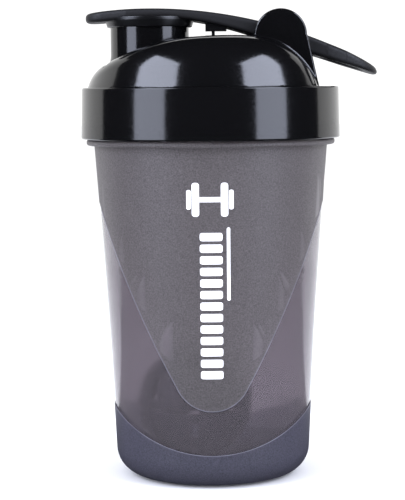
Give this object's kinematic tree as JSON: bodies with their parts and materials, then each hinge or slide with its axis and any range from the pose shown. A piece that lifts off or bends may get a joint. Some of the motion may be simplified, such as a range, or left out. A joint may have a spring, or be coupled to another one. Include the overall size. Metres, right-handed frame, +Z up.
{
  "type": "protein shaker bottle",
  "caption": "Tapered frosted drinking cup with a screw-on domed lid, a sealed pouring spout under a hinged flip lever with a carry loop, and a loose mixing ball inside.",
  "frame": {"origin": "centre of the cup's foot, on the surface that the bottle stands on", "axes": "+Z up along the cup's axis, -X towards the spout and thumb tab, +X towards the lever's pivot and carry loop"},
  "size_m": [0.1094, 0.0958, 0.1727],
  "materials": {
    "frosted_cup": "smoke grey translucent polypropylene, frosted with smooth windows",
    "lid_gloss": "polished black",
    "lever_matte": "fine spark-textured black",
    "cap_gloss": "polished black",
    "seal": "soft natural silicone",
    "seal_dark": "soft black silicone",
    "ball": "dark grey moulded plastic"
  },
  "bodies": {
    "cup": {"cup": "frosted_cup"},
    "lid_seal": {"lid_seal": "seal"},
    "lid": {"lid": "lid_gloss"},
    "lever": {"flip_lever": "lever_matte", "spout_cap": "cap_gloss", "cap_liner": "seal", "vent_plug": "seal_dark"},
    "mixer_ball": {"mixer_ball_upper": "ball", "mixer_ball_lower": "ball"}
  },
  "joints": [
    {"name": "lid_lift", "type": "slide", "parent": "cup", "child": "lid_seal", "axis": [0, 0, 1], "range_m": [0, 0.015]},
    {"name": "lid_turn", "type": "hinge", "parent": "lid_seal", "child": "lid", "pos_m": [0, 0, 0.1441], "axis": [0, 0, 1], "range_deg": [0, 1080]},
    {"name": "lever_flip", "type": "hinge", "parent": "lid", "child": "lever", "pos_m": [0.0263, 0, 0.1628], "axis": [0, 1, 0], "range_deg": [0, 17]},
    {"name": "ball_lift", "type": "slide", "parent": "cup", "child": "mixer_ball", "axis": [0, 0, 1], "range_m": [0, 0.085]}
  ],
  "couplings": [
    {"joint": "lid_lift", "follows": "lid_turn", "m_per_rad": 0.00079577}
  ]
}
